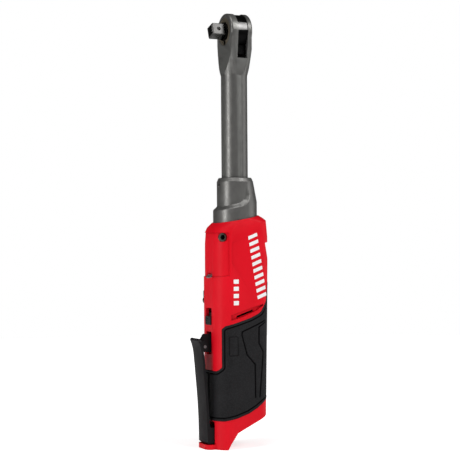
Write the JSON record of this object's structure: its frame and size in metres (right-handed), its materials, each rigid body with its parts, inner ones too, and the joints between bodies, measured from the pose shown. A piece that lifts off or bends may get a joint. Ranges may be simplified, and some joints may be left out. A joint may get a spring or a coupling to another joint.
{
  "type": "cordless long-neck ratchet",
  "caption": "Slim battery-powered ratchet without its battery: long neck with a round head and square drive, tubular handle with a paddle lever.",
  "frame": {"origin": "on the neck axis, in the plane of the handle's lowest edge, at the mouth of the battery socket", "axes": "+Z along the neck towards the head; -Y is the front, the side of the paddle and the square drive; +X is the side with the single housing screw"},
  "size_m": [0.0384, 0.0567, 0.332],
  "materials": {
    "red_plastic": "moulded, fine satin grain",
    "grip_rubber": "soft matte, fine texture",
    "black_plastic": "moulded satin",
    "button_grey": "satin",
    "coated_steel": "grey coated forging, satin",
    "cast_grey": "grey cast and blasted",
    "screw_steel": "zinc plated",
    "bright_steel": "ground bright",
    "drive_chrome": "polished chrome",
    "spring_steel": "oiled",
    "washer_bronze": "dull bronze",
    "dark_steel": "black oxide",
    "shaft_steel": "ground",
    "bearing_steel": "ground",
    "gear_steel": "hobbed, oiled",
    "lamination": "stacked laminations",
    "copper_wire": "enamelled copper",
    "board_green": "glass-fibre board",
    "contact_brass": "plated contact",
    "lamp_lens": "clear moulded lens",
    "led_yellow": "phosphor",
    "gauge_black": "smoked",
    "white_print": "pad-printed bars"
  },
  "bodies": {
    "casing": {"anvil_washer": "dark_steel", "control_board": "board_green", "crank_ball_bearing": "bearing_steel", "crank_needle_bearing": "bearing_steel", "gauge_lens": "gauge_black", "gear_case": "cast_grey", "head_neck": "coated_steel", "housing_left": "red_plastic", "housing_right": "red_plastic", "housing_screws": "screw_steel", "lamp_led": "led_yellow", "lamp_lens": "lamp_lens", "motor_end_bell": "black_plastic", "motor_front_bearing": "bearing_steel", "motor_front_plate": "cast_grey", "motor_rear_bearing": "bearing_steel", "motor_windings": "copper_wire", "neck_set_screw": "screw_steel", "overmould_left": "grip_rubber", "overmould_right": "grip_rubber", "paddle_pin": "shaft_steel", "paddle_spring": "spring_steel", "retaining_ring": "washer_bronze", "ring_gear": "gear_steel", "sensor_board": "board_green", "stator": "lamination", "switch_body": "black_plastic", "terminal_block": "black_plastic", "terminals": "contact_brass"},
    "crank": {"crankshaft": "shaft_steel", "drive_bushing": "shaft_steel", "planet_carrier": "gear_steel", "planet_pins": "shaft_steel"},
    "planet_1": {"planet_gear_1": "gear_steel"},
    "planet_2": {"planet_gear_2": "gear_steel"},
    "planet_3": {"planet_gear_3": "gear_steel"},
    "motor_rotor": {"rotor": "lamination", "motor_shaft": "shaft_steel", "sun_pinion": "gear_steel", "motor_fan": "black_plastic"},
    "yoke": {"yoke": "bright_steel"},
    "anvil": {"anvil": "drive_chrome", "pawl_pin": "shaft_steel", "detent_spring": "spring_steel"},
    "detent": {"detent_ball": "drive_chrome"},
    "reverser": {"reverse_knob": "dark_steel", "reverse_spring": "spring_steel", "reverse_plunger": "shaft_steel"},
    "pawl": {"pawl": "dark_steel"},
    "paddle": {"paddle": "black_plastic", "arm_pin": "shaft_steel"},
    "arm": {"paddle_arm": "black_plastic"},
    "plunger": {"switch_plunger": "black_plastic"},
    "lock": {"lock_slide": "button_grey"}
  },
  "joints": [
    {"name": "crank_spin", "type": "hinge", "parent": "casing", "child": "crank", "pos_m": [0, 0, 0.2], "axis": [0, 0, 1], "continuous": true},
    {"name": "rotor_spin", "type": "hinge", "parent": "casing", "child": "motor_rotor", "pos_m": [0, 0, 0.12], "axis": [0, 0, 1], "continuous": true},
    {"name": "planet_1_spin", "type": "hinge", "parent": "crank", "child": "planet_1", "pos_m": [0.0081, 0, 0.157], "axis": [0, 0, 1], "continuous": true},
    {"name": "planet_2_spin", "type": "hinge", "parent": "crank", "child": "planet_2", "pos_m": [-0.00405, 0.00702, 0.157], "axis": [0, 0, 1], "continuous": true},
    {"name": "planet_3_spin", "type": "hinge", "parent": "crank", "child": "planet_3", "pos_m": [-0.00405, -0.00702, 0.157], "axis": [0, 0, 1], "continuous": true},
    {"name": "yoke_swing", "type": "hinge", "parent": "casing", "child": "yoke", "pos_m": [0, 0, 0.3181], "axis": [0, -1, 0], "range_deg": [-5.3, 5.3]},
    {"name": "anvil_spin", "type": "hinge", "parent": "casing", "child": "anvil", "pos_m": [0, 0, 0.3181], "axis": [0, -1, 0], "continuous": true},
    {"name": "detent_press", "type": "slide", "parent": "anvil", "child": "detent", "axis": [-0.9511, 0, -0.309], "range_m": [0, 0.00058], "stiffness_N_per_m": 600, "springref_m": -0.001},
    {"name": "reverse_turn", "type": "hinge", "parent": "anvil", "child": "reverser", "pos_m": [0, 0, 0.3181], "axis": [0, -1, 0], "range_deg": [0, 50]},
    {"name": "pawl_rock", "type": "hinge", "parent": "anvil", "child": "pawl", "pos_m": [0, 0, 0.3244], "axis": [0, -1, 0], "range_deg": [-12, 0]},
    {"name": "paddle_swing", "type": "hinge", "parent": "casing", "child": "paddle", "pos_m": [0, -0.0195, 0.011], "axis": [-1, 0, 0], "range_deg": [0, 4.5], "stiffness_Nm_per_rad": 0.6, "springref_deg": -20.05},
    {"name": "arm_swing", "type": "hinge", "parent": "paddle", "child": "arm", "pos_m": [0, -0.0278, 0.0776], "axis": [-1, 0, 0], "range_deg": [0, 6], "stiffness_Nm_per_rad": 0.02, "springref_deg": -17.19},
    {"name": "plunger_press", "type": "slide", "parent": "casing", "child": "plunger", "axis": [0, 1, 0], "range_m": [0, 0.0058]},
    {"name": "lock_slide_move", "type": "slide", "parent": "casing", "child": "lock", "axis": [0, 0, 1], "range_m": [0, 0.0062]}
  ],
  "couplings": [
    {"joint": "rotor_spin", "follows": "crank_spin", "ratio": 4.5},
    {"joint": "planet_1_spin", "follows": "crank_spin", "ratio": -2.8},
    {"joint": "planet_2_spin", "follows": "crank_spin", "ratio": -2.8},
    {"joint": "planet_3_spin", "follows": "crank_spin", "ratio": -2.8},
    {"joint": "pawl_rock", "follows": "reverse_turn", "ratio": -0.24},
    {"joint": "plunger_press", "follows": "paddle_swing", "m_per_rad": 0.071}
  ]
}
